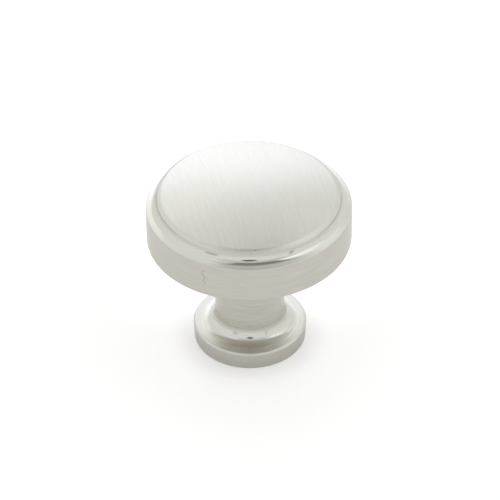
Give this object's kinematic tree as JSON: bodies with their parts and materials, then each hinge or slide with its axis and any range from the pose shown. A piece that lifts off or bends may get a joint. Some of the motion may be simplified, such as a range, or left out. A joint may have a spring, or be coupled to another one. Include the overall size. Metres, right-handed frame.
{
  "type": "cabinet knob",
  "caption": "Round cabinet knob in brushed satin nickel: broad low-crowned head with a coved rim, plain neck, flared foot and a tapped screw hole.",
  "frame": {"origin": "middle of the foot's flat face, the face that rests on the drawer front", "axes": "+Z along the knob's axis, away from the drawer front and towards the crown"},
  "size_m": [0.0318, 0.0318, 0.0296],
  "materials": {
    "satin_nickel": "brushed satin nickel plating on cast zinc"
  },
  "bodies": {
    "root": {"knob": "satin_nickel"}
  },
  "joints": []
}
